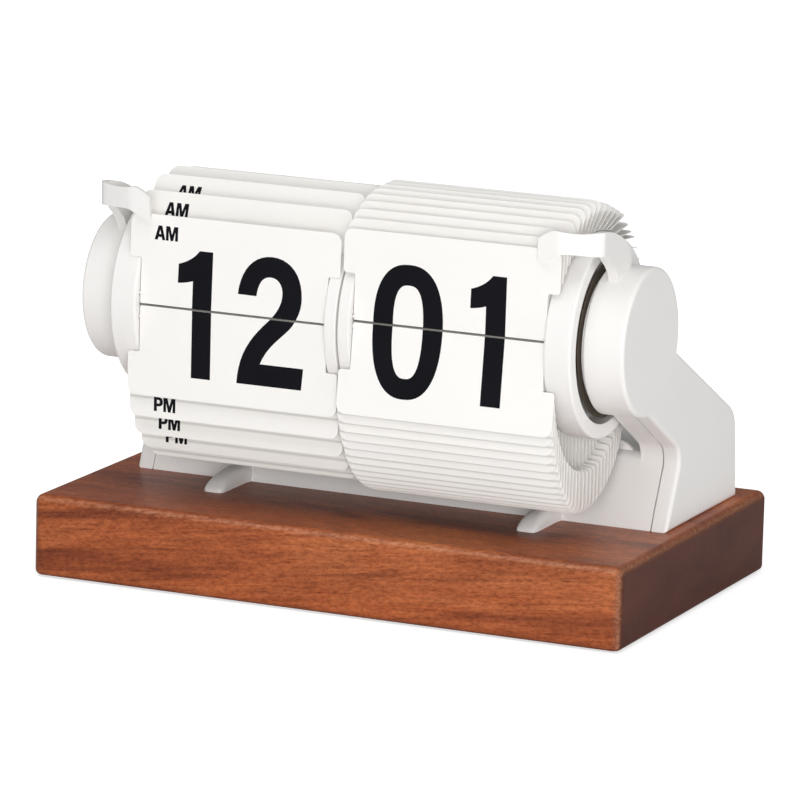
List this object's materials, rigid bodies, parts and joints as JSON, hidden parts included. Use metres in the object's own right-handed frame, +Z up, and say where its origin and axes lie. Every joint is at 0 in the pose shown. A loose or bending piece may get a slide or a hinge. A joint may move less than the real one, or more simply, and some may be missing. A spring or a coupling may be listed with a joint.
{
  "type": "split-flap desk clock",
  "caption": "Split-flap desk clock: two drums of hinged hour and minute leaves carried between white side pods above a rounded wooden block.",
  "frame": {"origin": "centre of the footprint on the table, under the base pads", "axes": "+X to the viewer's right along the base, +Y from the front to the back, +Z up"},
  "size_m": [0.2, 0.125, 0.1321],
  "materials": {
    "wood": "satin lacquer, straight dark grain along the width",
    "white_plastic": "fine satin",
    "leaf_plastic": "smooth satin, black printed numerals",
    "pad_rubber": "matt",
    "steel": "turned",
    "motor_case": "drawn sheet",
    "gear_plastic": "natural moulded",
    "pinion_brass": "turned",
    "battery_skin": "plain sleeve",
    "contact_metal": "plated"
  },
  "bodies": {
    "frame": {"wooden_base": "wood", "base_pad_left_front": "pad_rubber", "base_pad_left_back": "pad_rubber", "base_pad_right_front": "pad_rubber", "base_pad_right_back": "pad_rubber", "base_screw_left_front": "steel", "base_screw_left_back": "steel", "base_screw_right_front": "steel", "base_screw_right_back": "steel", "chassis": "white_plastic", "left_cover": "white_plastic", "right_cover": "white_plastic", "left_stop_lever": "white_plastic", "right_stop_lever": "white_plastic", "drum_shaft": "steel", "shaft_clip_left": "steel", "shaft_clip_right": "steel", "motor": "motor_case", "battery": "battery_skin", "battery_spring_contact": "contact_metal", "battery_plate_contact": "contact_metal"},
    "hour_drum": {"hour_hub": "white_plastic", "hour_inner_flange": "white_plastic", "hour_outer_flange": "white_plastic", "hour_leaves_standing": "leaf_plastic", "hour_leaves_hanging": "leaf_plastic", "hour_lower_leaf": "leaf_plastic"},
    "minute_drum": {"minute_hub": "white_plastic", "minute_inner_flange": "white_plastic", "minute_outer_flange": "white_plastic", "minute_leaves_standing": "leaf_plastic", "minute_leaves_hanging": "leaf_plastic", "minute_lower_leaf": "leaf_plastic", "minute_drive_gear": "gear_plastic"},
    "hour_front_leaf": {"hour_front_leaf": "leaf_plastic"},
    "minute_front_leaf": {"minute_front_leaf": "leaf_plastic"},
    "motor_pinion": {"motor_pinion": "pinion_brass"},
    "battery_door": {"battery_door": "white_plastic"}
  },
  "joints": [
    {"name": "hour_drum_turn", "type": "hinge", "parent": "frame", "child": "hour_drum", "pos_m": [0.00275, -0.02994, 0.09037], "axis": [1, 0, 0], "range_deg": [-15, 0]},
    {"name": "minute_drum_turn", "type": "hinge", "parent": "frame", "child": "minute_drum", "pos_m": [0.00275, -0.02994, 0.09037], "axis": [1, 0, 0], "range_deg": [-6, 0]},
    {"name": "hour_leaf_flip", "type": "hinge", "parent": "hour_drum", "child": "hour_front_leaf", "pos_m": [0.00275, -0.05797, 0.09426], "axis": [1, 0, 0], "range_deg": [0, 165]},
    {"name": "minute_leaf_flip", "type": "hinge", "parent": "minute_drum", "child": "minute_front_leaf", "pos_m": [0.00275, -0.05796, 0.09431], "axis": [1, 0, 0], "range_deg": [0, 160]},
    {"name": "pinion_spin", "type": "hinge", "parent": "frame", "child": "motor_pinion", "pos_m": [0.00275, -0.04234, 0.09037], "axis": [1, 0, 0], "range_deg": [0, 30]},
    {"name": "battery_door_hinge", "type": "hinge", "parent": "frame", "child": "battery_door", "pos_m": [0.00275, 0.04752, 0.0316], "axis": [-1, 0, 0], "range_deg": [0, 85]}
  ],
  "couplings": [
    {"joint": "pinion_spin", "follows": "minute_drum_turn", "ratio": -5}
  ]
}
